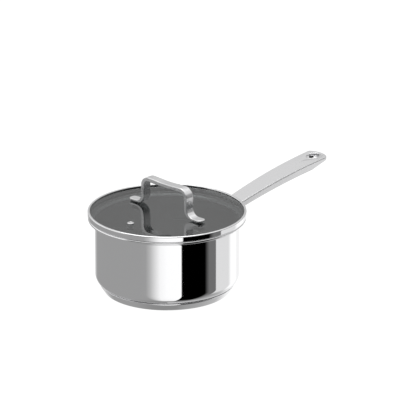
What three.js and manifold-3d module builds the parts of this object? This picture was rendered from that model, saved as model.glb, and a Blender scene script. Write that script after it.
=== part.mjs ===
// A saucepan of pressed stainless steel with a long hollow handle, and a flat glass lid
// with a steel rim band, a bent strap handle and a steam vent.
// Millimetres, +Z up. The origin is the centre of the flat underside, on the pot's axis.
// The long handle points along +X, the lid's strap lies along Y and the vent is on -X.
import * as THREE from "three";
import { mergeVertices } from "three/addons/utils/BufferGeometryUtils.js";
import Module from "manifold-3d";

const wasm = await Module();
wasm.setup();

// ---------------------------------------------------------------- driving sizes

// Between pieces that touch, and between the lid and the pot it drops into.
const GAP = 0.3;
const LID_CLEARANCE = 0.8;

// Pot
const POT_INNER_RADIUS = 80;
const POT_WALL = 0.8;
const POT_HEIGHT = 87;
const POT_CORNER_RADIUS = 12;
const RIM_REACH = 7.8;
const RIM_BEND = 3;
const RIM_BEAD = 1.9;

// Bonded base: an aluminium disc held in a steel cap
const CAP_SHEET = 0.8;
const CAP_BEND = 3;
const CAP_FLAT_INSET = 11.8;
const CAP_LIP_BEND = 1.5;
const CAP_LIP_HEIGHT = 0.4;
const CORE_THICKNESS = 6.6;
const SEAM_ANGLE = 59;

// Long handle
const HANDLE_LENGTH = 165;
const HANDLE_BELOW_RIM = 14.7;
const HANDLE_TIP_RISE = 28.7;
const HANDLE_BOW = 4.3;
const HANDLE_ROOT_WIDTH = 19.4;
const HANDLE_END_WIDTH = 28.6;
const HANDLE_ROOT_DEPTH = 8.2;
const HANDLE_GRIP_DEPTH = 9.4;
const NOSE_LENGTH = 27;
const TIP_DEPTH = 4.2;
const TIP_CROWN = 3.6;
const TIP_CORNER = 2.2;
const TOP_PLATE = 1.2;
const CHANNEL_WALL = 1.2;

// Hanging opening, an egg-shaped hole measured back from the tip
const OPENING_WIDE_RADIUS = 6.6;
const OPENING_NARROW_RADIUS = 5.4;
const OPENING_WIDE_BACK = 12.4;
const OPENING_NARROW_BACK = 9.4;
const SLEEVE_WALL = 0.8;

// Bracket that carries the long handle
const SADDLE_WIDTH = 34;
const SADDLE_HEIGHT = 20;
const SADDLE_SHEET = 1.6;
const SADDLE_CORNER = 4;
const TONGUE_LENGTH = 28;

// Lid
const GLASS_THICKNESS = 3;
const BAND_OVERHANG = 0.3;
const BAND_WALL = 1.3;
const BAND_FLOOR = 1.3;
const BAND_LIP = 1.4;
const BAND_LIP_COVER = 1.3;
const BAND_SKIRT_SHEET = 0.9;
const BAND_SKIRT_DROP = 1.9;

// Lid strap
const STRAP_WIDTH = 10.6;
const STRAP_THICKNESS = 4.8;
const STRAP_SPAN = 72.6;
const STRAP_RISE = 34.8;
const STRAP_DIP = 0.8;
const STRAP_TOP_BEND = 11;
const STRAP_FOOT_BEND = 9;
const FOOT_LENGTH = 20.7;
const FOOT_THICKNESS = 2.5;
const FOOT_TIP_ROUND = 3.6;

// Strap fastening: a stud welded under each foot, with a domed nut inside the lid
const STUD_RADIUS = 2;
const STUD_BACK_FROM_TIP = 7.4;
const STUD_ENGAGEMENT = 3;
const NUT_ACROSS_FLATS = 7;
const NUT_HEX_HEIGHT = 3.2;
const NUT_DOME_HEIGHT = 2.3;
const PAD_RADIUS = 4.8;
const PAD_THICKNESS = 0.6;
const CUP_RADIUS = 6.4;
const CUP_SHEET = 0.8;

// Steam vent
const VENT_DISTANCE = 56.8;
const VENT_BORE_RADIUS = 1.6;
const VENT_TUBE_WALL = 0.8;
const VENT_FLANGE_RADIUS = 3.8;
const VENT_FLANGE_SHEET = 0.9;
const VENT_WASHER_RADIUS = 5;
const VENT_WASHER_SHEET = 0.8;
const VENT_TUBE_PROUD = 0.6;

// Facets
const ROUND_SEGMENTS = 60;
const SMALL_SEGMENTS = 20;
const ARC_STEPS = 4;

// ---------------------------------------------------------------- places that follow

const potOuterRadius = POT_INNER_RADIUS + POT_WALL;
const rimRadius = potOuterRadius + RIM_REACH;
const beadRadius = rimRadius - RIM_BEAD;
const beadZ = POT_HEIGHT - RIM_BEAD;
const rimBendZ = beadZ - RIM_BEAD - RIM_BEND;
const coreBottom = CAP_SHEET + GAP;
const floorBottom = coreBottom + CORE_THICKNESS + GAP;
const cornerRadius = potOuterRadius - POT_CORNER_RADIUS;
const cornerZ = floorBottom + POT_CORNER_RADIUS;

const bandBottom = POT_HEIGHT + GAP;
const glassBottom = bandBottom + BAND_FLOOR + GAP;
const glassTop = glassBottom + GLASS_THICKNESS;
const bandTop = glassTop + GAP + BAND_LIP;
const bandRadius = rimRadius + BAND_OVERHANG;
const glassRadius = bandRadius - BAND_WALL - GAP;

const footBottom = glassTop + GAP + PAD_THICKNESS + GAP;
const strapHalfSpan = STRAP_SPAN / 2;
const strapTipY = strapHalfSpan + FOOT_LENGTH;
const studY = strapTipY - STUD_BACK_FROM_TIP;

const saddleInnerRadius = potOuterRadius + GAP;
const saddleOuterRadius = saddleInnerRadius + SADDLE_SHEET;
const handleRootX = saddleOuterRadius + GAP;
const handleTipX = handleRootX + HANDLE_LENGTH;
const handleRootZ = POT_HEIGHT - HANDLE_BELOW_RIM;

// ---------------------------------------------------------------- shape helpers

const radians = THREE.MathUtils.degToRad;
const mix = THREE.MathUtils.lerp;

// Points of an arc in a plane, from one angle to another in degrees.
function arc(x, y, radius, from, to, steps = ARC_STEPS) {
  const points = [];
  for (let i = 0; i <= steps; i++) {
    const angle = radians(mix(from, to, i / steps));
    points.push(new THREE.Vector2(x + radius * Math.cos(angle), y + radius * Math.sin(angle)));
  }
  return points;
}

function point(x, y) {
  return new THREE.Vector2(x, y);
}

// A half outline followed by its mirror image, which closes it.
function withMirror(points, flip) {
  const images = points.map(flip).reverse();
  return [...points, ...images.filter((p, i) => !p.equals(points[points.length - 1 - i]))];
}

const flipX = (p) => point(-p.x, p.y);
const flipY = (p) => point(p.x, -p.y);

// A manifold solid from a closed three.js geometry.
function solidOf(geometry) {
  const bare = geometry.clone();
  for (const name of ["normal", "uv"]) bare.deleteAttribute(name);
  const merged = mergeVertices(bare, 1e-4);
  const index = merged.index.array;
  const kept = [];
  for (let i = 0; i < index.length; i += 3) {
    const [a, b, c] = index.slice(i, i + 3);
    if (a !== b && b !== c && a !== c) kept.push(a, b, c);
  }
  const mesh = new wasm.Mesh({
    numProp: 3,
    vertProperties: new Float32Array(merged.attributes.position.array),
    triVerts: new Uint32Array(kept),
  });
  return new wasm.Manifold(mesh);
}

// A three.js geometry from a manifold solid.
function geometryOf(solid) {
  const mesh = solid.getMesh();
  const geometry = new THREE.BufferGeometry();
  geometry.setAttribute("position", new THREE.BufferAttribute(mesh.vertProperties, 3));
  geometry.setIndex(new THREE.BufferAttribute(mesh.triVerts, 1));
  geometry.computeVertexNormals();
  return geometry;
}

// A turned solid: the profile holds (radius, height) points, anticlockwise, on the Z axis.
function turned(profile, segments = ROUND_SEGMENTS) {
  const closed = profile[0].x > 0 ? [...profile, profile[0]] : profile;
  const geometry = new THREE.LatheGeometry(closed, segments);
  return solidOf(geometry.rotateX(Math.PI / 2));
}

// A plain round disc or ring between two heights.
function disc(radius, bottom, top, hole = 0, segments = SMALL_SEGMENTS) {
  return turned([point(hole, bottom), point(radius, bottom), point(radius, top), point(hole, top)], segments);
}

// An outline in the ground plane, raised between two heights.
function raised(outline, bottom, top) {
  const shape = new THREE.Shape(outline);
  const geometry = new THREE.ExtrudeGeometry(shape, { depth: top - bottom, bevelEnabled: false });
  return solidOf(geometry.translate(0, 0, bottom));
}

// An outline seen from the side, in (x, z), as wide as asked across Y.
function sideCut(outline, width) {
  const shape = new THREE.Shape(outline);
  const geometry = new THREE.ExtrudeGeometry(shape, { depth: width, bevelEnabled: false });
  return solidOf(geometry.rotateX(Math.PI / 2).translate(0, width / 2, 0));
}

function steel(colour, roughness) {
  return new THREE.MeshStandardMaterial({ color: colour, roughness, metalness: 1 });
}

const polishedSteel = () => steel(0xd9dadb, 0.12);
const satinSteel = () => steel(0xc9cacb, 0.32);
const silicone = () => new THREE.MeshStandardMaterial({ color: 0x2b2b2b, roughness: 0.7, metalness: 0 });

const saucepan = new THREE.Group();

function addPiece(name, solid, material) {
  const mesh = new THREE.Mesh(geometryOf(solid), material);
  mesh.name = name;
  saucepan.add(mesh);
}

// ---------------------------------------------------------------- pot

// Drawn shell: flat floor, round corner, straight wall, a bend out to a narrow flange and
// a bead rolled up and in at its edge, which the lid sits on. The outer line runs up from
// the floor and the inner line runs back down.
function potBody() {
  const neckX = potOuterRadius + RIM_BEND;
  return turned([
    point(0, floorBottom),
    ...arc(cornerRadius, cornerZ, POT_CORNER_RADIUS, -90, 0, 6),
    ...arc(neckX, rimBendZ, RIM_BEND, 180, 90),
    ...arc(beadRadius, beadZ, RIM_BEAD, -90, 90, 6),
    ...arc(beadRadius, beadZ, RIM_BEAD - POT_WALL, 90, -90, 6),
    ...arc(neckX, rimBendZ, RIM_BEND + POT_WALL, 90, 180),
    ...arc(cornerRadius, cornerZ, POT_CORNER_RADIUS - POT_WALL, 0, -90, 6),
    point(0, floorBottom + POT_WALL),
  ]);
}

// The base's seam is where the cap's lip meets the round corner of the pot.
const seamRadius = cornerRadius + (POT_CORNER_RADIUS + GAP) * Math.cos(radians(SEAM_ANGLE));
const seamZ = cornerZ - (POT_CORNER_RADIUS + GAP) * Math.sin(radians(SEAM_ANGLE));
const capRadius = seamRadius + CAP_SHEET;
const capFlatRadius = potOuterRadius - CAP_FLAT_INSET;
const capLipZ = seamZ - CAP_LIP_HEIGHT;

// The cap's line, drawn in from its outer face: its flat foot, the straight side that
// leaves the foot's bend and meets the lip's bend, and the lip.
function capLine(inset) {
  const lipCentre = point(capRadius - CAP_LIP_BEND, capLipZ);
  const across = lipCentre.clone().sub(point(capFlatRadius, CAP_BEND));
  const lean = across.angle() - Math.acos((CAP_BEND - CAP_LIP_BEND) / across.length());
  const turn = THREE.MathUtils.radToDeg(lean);
  return [
    ...arc(capFlatRadius, CAP_BEND, CAP_BEND - inset, -90, turn, 3),
    ...arc(lipCentre.x, lipCentre.y, CAP_LIP_BEND - inset, turn, 0, 3),
  ];
}

function baseCap() {
  return turned([
    point(0, 0),
    ...capLine(0),
    point(capRadius, seamZ),
    point(seamRadius, seamZ),
    ...capLine(CAP_SHEET).reverse(),
    point(0, CAP_SHEET),
  ]);
}

// The disc fills the cap and follows the pot's round corner over its top edge.
function baseCoreDisc() {
  const edgeAngle = SEAM_ANGLE + 3;
  return turned([
    point(0, coreBottom),
    ...capLine(CAP_SHEET + GAP),
    ...arc(cornerRadius, cornerZ, POT_CORNER_RADIUS + GAP, -edgeAngle, -90, 3),
    point(0, coreBottom + CORE_THICKNESS),
  ]);
}

// ---------------------------------------------------------------- long handle

const handleShare = (x) => (x - handleRootX) / HANDLE_LENGTH;

// Height of the handle's top face: a straight rise with an even bow over it.
function handleTop(x) {
  const t = handleShare(x);
  return handleRootZ + HANDLE_TIP_RISE * t + 4 * HANDLE_BOW * t * (1 - t);
}

const noseX = handleTipX - NOSE_LENGTH;

// Depth of the handle below its top face: the grip deepens a little towards the hand and
// the nose round the hanging opening thins evenly to the tip.
function handleDepth(x) {
  if (x > noseX) return mix(HANDLE_GRIP_DEPTH, TIP_DEPTH, (x - noseX) / NOSE_LENGTH);
  return mix(HANDLE_ROOT_DEPTH, HANDLE_GRIP_DEPTH, (x - handleRootX) / (noseX - handleRootX));
}

const handleBottom = (x) => handleTop(x) - handleDepth(x);
const plateBottom = (x) => handleTop(x) - TOP_PLATE;
const channelTop = (x) => plateBottom(x) - GAP;

// Half the handle's width, growing quickly at first and then more slowly.
function handleHalfWidth(x) {
  const t = handleShare(x);
  return mix(HANDLE_ROOT_WIDTH, HANDLE_END_WIDTH, t * (1.5 - 0.5 * t)) / 2;
}

// Places along the handle, one of them where the nose starts.
function handleStations(from, to) {
  const stations = [from, to, noseX];
  for (let i = 1; i < 10; i++) stations.push(mix(handleRootX, handleTipX, i / 10));
  return stations.filter((x) => x >= from && x <= to).sort((a, b) => a - b);
}

// The stretch of handle between two lines that follow its top and bottom faces.
function handleSlice(from, to, upper, lower) {
  const stations = handleStations(from, to);
  const bottom = stations.map((x) => point(x, lower(x)));
  const top = stations.map((x) => point(x, upper(x))).reverse();
  return sideCut([...bottom, ...top], 2 * HANDLE_END_WIDTH);
}

const skyZ = handleRootZ + 2 * HANDLE_TIP_RISE;

// The handle's outline from above, with small corners and a crowned tip.
function handlePlan() {
  const cornerEnd = 30;
  const squareX = handleTipX - TIP_CROWN - TIP_CORNER * Math.cos(radians(cornerEnd));
  const side = handleStations(handleRootX, squareX).map((x) => point(x, handleHalfWidth(x)));
  const cornerY = handleHalfWidth(squareX) - TIP_CORNER;
  const corner = arc(squareX, cornerY, TIP_CORNER, 90, cornerEnd, 3).slice(1);
  const crownY = corner[corner.length - 1].y;
  const crown = [];
  for (let i = 3; i >= 0; i--) {
    const share = i / 4;
    crown.push(point(handleTipX - TIP_CROWN * share ** 2, crownY * share));
  }
  return raised(withMirror([...side, ...corner, ...crown], flipY), 0, skyZ);
}

// The hanging opening, drawn out by a wall, as a cut right through the handle.
function openingCut(outset) {
  const wide = OPENING_WIDE_RADIUS + outset;
  const narrow = OPENING_NARROW_RADIUS + outset;
  const wideX = handleTipX - OPENING_WIDE_BACK;
  const narrowX = handleTipX - OPENING_NARROW_BACK;
  const side = THREE.MathUtils.radToDeg(Math.acos((wide - narrow) / (narrowX - wideX)));
  const outline = [...arc(narrowX, 0, narrow, -side, side, 8), ...arc(wideX, 0, wide, side, 360 - side, 16)];
  return raised(outline, 0, skyZ);
}

// The space between the channel's walls, smaller all round by a clearance, up to a line.
function handleHollow(clearance, from, to, upper) {
  const floor = (x) => handleBottom(x) + CHANNEL_WALL + clearance;
  const inset = CHANNEL_WALL + clearance;
  const side = handleStations(from, to).map((x) => point(x, handleHalfWidth(x) - inset));
  return handleSlice(from, to, upper, floor).intersect(raised(withMirror(side, flipY), 0, skyZ));
}

function handleTopPlate() {
  const slice = handleSlice(handleRootX, handleTipX, handleTop, plateBottom);
  return slice.intersect(handlePlan()).subtract(openingCut(SLEEVE_WALL + GAP));
}

// A pressed channel, hollow along the grip and solid round the hanging opening.
function handleChannel() {
  const slice = handleSlice(handleRootX, handleTipX, channelTop, handleBottom);
  const openingStart = handleTipX - OPENING_WIDE_BACK - OPENING_WIDE_RADIUS - SLEEVE_WALL - GAP;
  const hollow = handleHollow(0, handleRootX - 1, openingStart - CHANNEL_WALL, handleTop);
  return slice.intersect(handlePlan()).subtract(hollow).subtract(openingCut(SLEEVE_WALL + GAP));
}

function hangingSleeve() {
  const slice = handleSlice(handleRootX, handleTipX, handleTop, handleBottom);
  return openingCut(SLEEVE_WALL).subtract(openingCut(0)).intersect(slice);
}

// A saddle that follows the pot's wall, with a tongue that fills the handle's root.
function handleBracket() {
  const middle = handleRootZ - HANDLE_ROOT_DEPTH / 2;
  const low = middle - SADDLE_HEIGHT / 2;
  const ring = disc(saddleOuterRadius, low, low + SADDLE_HEIGHT, saddleInnerRadius, ROUND_SEGMENTS);
  const cornerY = SADDLE_WIDTH / 2 - SADDLE_CORNER;
  const cornerZUp = SADDLE_HEIGHT / 2 - SADDLE_CORNER;
  const face = withMirror(
    [...arc(cornerZUp, cornerY, SADDLE_CORNER, 90, 0), ...arc(cornerZUp, -cornerY, SADDLE_CORNER, 0, -90)],
    flipX,
  );
  const reach = 2 * potOuterRadius;
  const stamp = raised(face, 0, reach).rotate([0, -90, 0]).translate([reach + 1, 0, middle]);
  const clearTop = (x) => channelTop(x) - GAP;
  const tongueStart = saddleInnerRadius + SADDLE_SHEET / 2;
  const tongue = handleHollow(GAP, tongueStart, handleRootX + TONGUE_LENGTH, clearTop);
  return ring.intersect(stamp).add(tongue);
}

// ---------------------------------------------------------------- lid

// Rolled band: a lip over the glass, a floor under it and a skirt that centres the lid.
function lidRimBand() {
  const skirtRadius = beadRadius - LID_CLEARANCE;
  const skirtInner = skirtRadius - BAND_SKIRT_SHEET;
  const grooveRadius = bandRadius - BAND_WALL;
  const lipRadius = grooveRadius - BAND_LIP_COVER;
  const edge = 0.5;
  return turned([
    point(skirtInner, bandBottom - BAND_SKIRT_DROP),
    point(skirtRadius, bandBottom - BAND_SKIRT_DROP),
    point(skirtRadius, bandBottom),
    ...arc(bandRadius - edge, bandBottom + edge, edge, -90, 0, 2),
    ...arc(bandRadius - 2 * edge, bandTop - 2 * edge, 2 * edge, 0, 90, 3),
    ...arc(lipRadius + edge, bandTop - edge, edge, 90, 180, 2),
    point(lipRadius, glassTop + GAP),
    point(grooveRadius, glassTop + GAP),
    point(grooveRadius, bandBottom + BAND_FLOOR),
    point(skirtInner, bandBottom + BAND_FLOOR),
  ]);
}

const ventTubeRadius = VENT_BORE_RADIUS + VENT_TUBE_WALL;
const ventPlace = [-VENT_DISTANCE, 0, 0];
const studPlaces = [[0, studY, 0], [0, -studY, 0]];

function lidGlass() {
  let glass = disc(glassRadius, glassBottom, glassTop, 0, ROUND_SEGMENTS);
  const studHole = disc(STUD_RADIUS + 2 * GAP, glassBottom - 1, glassTop + 1);
  for (const place of studPlaces) glass = glass.subtract(studHole.translate(place));
  const ventHole = disc(ventTubeRadius + GAP, glassBottom - 1, glassTop + 1);
  return glass.subtract(ventHole.translate(ventPlace));
}

// Flange on the glass with a tube down through it, open right through for the steam.
function ventEyelet() {
  const tubeEnd = glassBottom - GAP - VENT_WASHER_SHEET - VENT_TUBE_PROUD;
  const flangeBottom = glassTop + GAP;
  const edge = VENT_FLANGE_SHEET / 2;
  const profile = [
    point(VENT_BORE_RADIUS, tubeEnd),
    point(ventTubeRadius, tubeEnd),
    point(ventTubeRadius, flangeBottom),
    ...arc(VENT_FLANGE_RADIUS - edge, flangeBottom + edge, edge, -90, 90),
    point(VENT_BORE_RADIUS, flangeBottom + VENT_FLANGE_SHEET),
  ];
  return turned(profile, SMALL_SEGMENTS).translate(ventPlace);
}

function ventWasher() {
  const top = glassBottom - GAP;
  return disc(VENT_WASHER_RADIUS, top - VENT_WASHER_SHEET, top, ventTubeRadius + GAP).translate(ventPlace);
}

// ---------------------------------------------------------------- lid strap

const glassPadTop = glassBottom - GAP;
const cupTop = glassPadTop - PAD_THICKNESS - GAP;
const nutTop = cupTop - CUP_SHEET - GAP;
const studEnd = nutTop - STUD_ENGAGEMENT;

// One bar bent down at both ends and turned out into two feet, bluntly rounded at their tips,
// with a threaded stud welded under each foot.
function lidStrap() {
  const top = glassTop + STRAP_RISE;
  const flat = strapHalfSpan - STRAP_TOP_BEND;
  const inner = strapHalfSpan - STRAP_THICKNESS;
  const footTop = footBottom + FOOT_THICKNESS;
  const innerBend = STRAP_FOOT_BEND + FOOT_THICKNESS;
  const dip = (y) => (STRAP_DIP * (1 + Math.cos((Math.PI * y) / flat))) / 2;
  const middle = [3, 2, 1, 0].map((i) => (flat * i) / 4);
  const over = [
    point(strapTipY, footTop),
    ...arc(strapHalfSpan + STRAP_FOOT_BEND, footTop + STRAP_FOOT_BEND, STRAP_FOOT_BEND, 270, 180),
    ...arc(flat, top - STRAP_TOP_BEND, STRAP_TOP_BEND, 0, 90),
    ...middle.map((y) => point(y, top - dip(y))),
  ];
  const under = [
    point(strapTipY, footBottom),
    ...arc(inner + innerBend, footBottom + innerBend, innerBend, 270, 180),
    ...arc(flat, top - STRAP_TOP_BEND, STRAP_TOP_BEND - STRAP_THICKNESS, 0, 90),
    ...middle.map((y) => point(y, top - STRAP_THICKNESS - dip(y))),
  ];
  const outline = [...withMirror(over, flipX), ...withMirror(under, flipX).reverse()];
  const bar = sideCut(outline, STRAP_WIDTH).rotate([0, 0, 90]);
  const tip = arc(0, 0, 1, 0, 180, 8).map((p) => {
    return point((p.x * STRAP_WIDTH) / 2, strapTipY - FOOT_TIP_ROUND * (1 - p.y));
  });
  let strap = bar.intersect(raised(withMirror(tip, flipY), footBottom - 1, top + 1));
  const stud = disc(STUD_RADIUS, studEnd, footBottom + FOOT_THICKNESS / 2);
  for (const place of studPlaces) strap = strap.add(stud.translate(place));
  return strap;
}

// A domed hexagon nut whose blind hole takes the end of the stud.
function strapNut() {
  const hexBottom = nutTop - NUT_HEX_HEIGHT;
  const corner = NUT_ACROSS_FLATS / Math.sqrt(3);
  const hexagon = new THREE.CylinderGeometry(corner, corner, NUT_HEX_HEIGHT, 6);
  hexagon.rotateX(Math.PI / 2).translate(0, 0, hexBottom + NUT_HEX_HEIGHT / 2);
  const domeFoot = NUT_ACROSS_FLATS / 2 - GAP;
  const dome = [point(0, hexBottom - NUT_DOME_HEIGHT)];
  for (let i = 1; i <= 4; i++) {
    const angle = radians((90 * i) / 4);
    dome.push(point(domeFoot * Math.sin(angle), hexBottom - NUT_DOME_HEIGHT * Math.cos(angle)));
  }
  dome.push(point(domeFoot, nutTop - NUT_HEX_HEIGHT / 2), point(0, nutTop - NUT_HEX_HEIGHT / 2));
  const hole = disc(STUD_RADIUS + GAP, studEnd - GAP, nutTop + 1);
  return solidOf(hexagon).add(turned(dome, SMALL_SEGMENTS)).subtract(hole);
}

// ---------------------------------------------------------------- assembly

const aluminium = new THREE.MeshStandardMaterial({ color: 0xb9bcbf, roughness: 0.5, metalness: 1 });
const glass = new THREE.MeshStandardMaterial({ color: 0x9fb0ad, roughness: 0.05, metalness: 0 });

addPiece("pot_body", potBody(), polishedSteel());
addPiece("base_core_disc", baseCoreDisc(), aluminium);
addPiece("base_cap", baseCap(), polishedSteel());
addPiece("handle_bracket", handleBracket(), satinSteel());
addPiece("handle_channel", handleChannel(), satinSteel());
addPiece("handle_top_plate", handleTopPlate(), satinSteel());
addPiece("hanging_sleeve", hangingSleeve(), polishedSteel());
addPiece("lid_rim_band", lidRimBand(), polishedSteel());
addPiece("lid_glass", lidGlass(), glass);
addPiece("vent_eyelet", ventEyelet(), polishedSteel());
addPiece("vent_washer", ventWasher(), satinSteel());
addPiece("lid_strap", lidStrap(), satinSteel());

// The same pads, cup washer and nut hold each foot of the strap.
studPlaces.forEach((place, i) => {
  const end = ["back", "front"][i];
  const hole = STUD_RADIUS + GAP;
  const footPadTop = footBottom - GAP;
  const footPad = disc(PAD_RADIUS, footPadTop - PAD_THICKNESS, footPadTop, hole);
  const glassPad = disc(PAD_RADIUS, glassPadTop - PAD_THICKNESS, glassPadTop, hole);
  const cup = disc(CUP_RADIUS, cupTop - CUP_SHEET, cupTop, hole);
  addPiece("foot_pad_" + end, footPad.translate(place), silicone());
  addPiece("glass_pad_" + end, glassPad.translate(place), silicone());
  addPiece("cup_washer_" + end, cup.translate(place), satinSteel());
  addPiece("strap_nut_" + end, strapNut().translate(place), satinSteel());
});

export default saucepan;
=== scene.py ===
# %% [markdown]
# # A saucepan with a glass lid
# The pan is drawn and polished stainless steel with a bonded base, a long hollow handle and a flat glass
# lid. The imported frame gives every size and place. Each cell below makes one piece or one finish round it.

# %% Load the frame
import math

import bmesh
import bpy
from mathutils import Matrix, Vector


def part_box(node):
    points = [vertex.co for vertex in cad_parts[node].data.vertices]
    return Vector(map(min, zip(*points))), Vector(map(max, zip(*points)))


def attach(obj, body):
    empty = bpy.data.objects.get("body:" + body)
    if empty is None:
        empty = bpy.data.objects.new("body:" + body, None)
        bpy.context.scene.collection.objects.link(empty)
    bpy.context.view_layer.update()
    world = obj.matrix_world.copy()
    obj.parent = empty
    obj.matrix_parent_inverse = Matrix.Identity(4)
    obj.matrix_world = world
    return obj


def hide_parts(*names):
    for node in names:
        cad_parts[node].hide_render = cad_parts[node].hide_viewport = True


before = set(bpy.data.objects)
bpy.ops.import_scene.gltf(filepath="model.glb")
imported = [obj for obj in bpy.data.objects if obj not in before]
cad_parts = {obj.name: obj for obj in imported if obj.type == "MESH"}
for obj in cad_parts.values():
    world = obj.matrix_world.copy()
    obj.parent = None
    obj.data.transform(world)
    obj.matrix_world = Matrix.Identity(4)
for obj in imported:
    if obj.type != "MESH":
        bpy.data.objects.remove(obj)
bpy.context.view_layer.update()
MM = 0.001


def box(node):
    """Lowest and highest corner of a CAD node, in millimetres."""
    return tuple(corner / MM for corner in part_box(node))


pot_low, pot_high = box("pot_body")
cap_high = box("base_cap")[1]
band_low, band_high = box("lid_rim_band")
glass_low, glass_high = box("lid_glass")
strap_low, strap_high = box("lid_strap")
plate_low, plate_high = box("handle_top_plate")
channel_low = box("handle_channel")[0]
vent_low, vent_high = box("vent_eyelet")

# %% [markdown]
# ## Camera
# A long lens a little over five metres away, looking down by 19.7 degrees from between the front and the
# left. A lens this long keeps the pan's sides almost parallel. The lid's ring is the anchor: the camera is
# moved sideways and up by two small distances, so that the pan stands left of the middle with its handle at
# the right.

# %% Camera
AZIMUTH, ELEVATION = math.radians(-45), math.radians(19.685)
LENS_MM, SENSOR_MM, RANGE_M = 421.2, 36.0, 5.2276
SHIFT_RIGHT_M, SHIFT_UP_M = 0.036797, 0.011048
level_back = Vector((math.sin(AZIMUTH), -math.cos(AZIMUTH), 0))
back = level_back * math.cos(ELEVATION) + Vector((0, 0, math.sin(ELEVATION)))
right = Vector((math.cos(AZIMUTH), math.sin(AZIMUTH), 0))
up = back.cross(right)
camera_data = bpy.data.cameras.new("camera")
camera_data.lens, camera_data.sensor_width = LENS_MM, SENSOR_MM
camera_data.clip_start, camera_data.clip_end = 0.1, 60
camera = bpy.data.objects.new("camera", camera_data)
bpy.context.scene.collection.objects.link(camera)
camera.location = Vector((0, 0, band_high.z * MM)) + back * RANGE_M + right * SHIFT_RIGHT_M + up * SHIFT_UP_M
camera.rotation_mode = "QUATERNION"
camera.rotation_quaternion = (-back).to_track_quat("-Z", "Y")
bpy.context.scene.camera = camera
bpy.context.scene.view_settings.view_transform = "Standard"
print("camera at", [round(v, 3) for v in camera.location])

# %% [markdown]
# ## Helpers for node trees
# Every material, the world and the Geometry Nodes tree are graphs. One function adds a node, sets its
# options and fills or links its inputs, so that each graph reads from top to bottom. Colours are written as
# sRGB hex, as a paint chart gives them, and one function turns them to the linear values that shaders use.

# %% Node helpers
def add(tree, kind, inputs=None, stops=(), **options):
    """Adds a node: options are its properties, inputs its socket values or the sockets linked into it.

    stops are the (position, colour) stops of a node that has a colour ramp."""
    made = tree.nodes.new(kind)
    for name, value in options.items():
        setattr(made, name, value)
    for key, value in (inputs or {}).items():
        socket = made.inputs[key]
        if isinstance(value, bpy.types.NodeSocket):
            tree.links.new(value, socket)
        else:
            socket.default_value = value
    if stops:
        elements = made.color_ramp.elements
        while len(elements) < len(stops):
            elements.new(0.5)
        for element, (position, colour) in zip(elements, stops):
            element.position, element.color = position, colour
    return made


def linear(code):
    """An sRGB hex colour as the linear colour, with alpha, that a shader takes."""
    parts = [int(code[i : i + 2], 16) / 255 for i in (1, 3, 5)]
    return tuple(p / 12.92 if p <= 0.04045 else ((p + 0.055) / 1.055) ** 2.4 for p in parts) + (1.0,)


def new_material(name):
    """An empty material and its tree."""
    material = bpy.data.materials.new(name)
    material.use_nodes = True
    material.node_tree.nodes.clear()
    return material, material.node_tree


# %% [markdown]
# ## Polished stainless steel
# 18/10 stainless sheet, drawn and then buffed on a turning mop. It mirrors the studio almost sharply, so
# its colour is nearly only what stands round it. The buffing leaves very fine rings about the pot's axis
# and a few cloudy marks, which soften the mirror a little. Real buffing lines are under 0.05 mm apart, too
# fine to show, so they are drawn about 1 mm apart and very faint. The pot's inside is brushed to a satin in
# the same rings, a little wider apart, which blurs what it mirrors into a soft grey.

# %% Steel materials
CLOUDING = 0.25  # how much the roughness varies, as a share of itself


def steel(name, colour, roughness, grain, depth, cloud_mm=30.0):
    """Bare metal whose roughness is clouded and whose polishing lines are a faint bump.

    grain is a function that turns the tree into the vector along which the lines are drawn."""
    material, tree = new_material(name)
    place = add(tree, "ShaderNodeTexCoord").outputs["Object"]
    clouds = add(tree, "ShaderNodeTexNoise", {"Vector": place, "Scale": 1 / (cloud_mm * MM), "Detail": 3.0})
    lines = add(tree, "ShaderNodeTexNoise", {"Vector": grain(tree, place), "Scale": 1.0, "Detail": 4.0})
    both = add(tree, "ShaderNodeMix", {0: 0.5, 2: clouds.outputs["Fac"], 3: lines.outputs["Fac"]})
    rough = add(tree, "ShaderNodeMapRange", {"Value": both.outputs[0], 1: 0.3, 2: 0.7,
                                             3: roughness * (1 - CLOUDING), 4: roughness * (1 + CLOUDING)})
    bump = add(tree, "ShaderNodeBump", {"Height": lines.outputs["Fac"], "Strength": depth,
                                        "Distance": 0.05 * MM})
    shader = add(tree, "ShaderNodeBsdfPrincipled", {"Base Color": linear(colour), "Metallic": 1.0,
                                                    "Roughness": rough.outputs[0], "Normal": bump.outputs[0]})
    add(tree, "ShaderNodeOutputMaterial", {"Surface": shader.outputs[0]})
    return material


def stretched(tree, vector, scale):
    """A vector multiplied axis by axis, which sets how long and how wide a pattern's marks are."""
    return add(tree, "ShaderNodeVectorMath", {0: vector, 1: scale}, operation="MULTIPLY").outputs[0]


def rings_about_axis(spacing_mm):
    """Lines that run round the pot's axis: they change with radius and height only."""
    def grain(tree, place):
        parts = add(tree, "ShaderNodeSeparateXYZ", {"Vector": place})
        flat = add(tree, "ShaderNodeCombineXYZ", {"X": parts.outputs["X"], "Y": parts.outputs["Y"]})
        radius = add(tree, "ShaderNodeVectorMath", {0: flat.outputs[0]}, operation="LENGTH")
        section = add(tree, "ShaderNodeCombineXYZ", {"X": radius.outputs["Value"], "Y": parts.outputs["Z"]})
        return stretched(tree, section.outputs[0], (1 / (spacing_mm * MM),) * 3)
    return grain


def lines_along(scale_mm):
    """Straight lines: scale_mm is how long the pattern is along X, Y and Z."""
    def grain(tree, place):
        return stretched(tree, place, tuple(1 / (s * MM) for s in scale_mm))
    return grain


def lines_on_path(across_mm, along_mm):
    """Lines that follow a bent bar, from the (along, round) distances kept in its UV map."""
    def grain(tree, place):
        path = add(tree, "ShaderNodeUVMap", uv_map="path")
        return stretched(tree, path.outputs[0], (1 / along_mm, 1 / across_mm, 1.0))
    return grain


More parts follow.
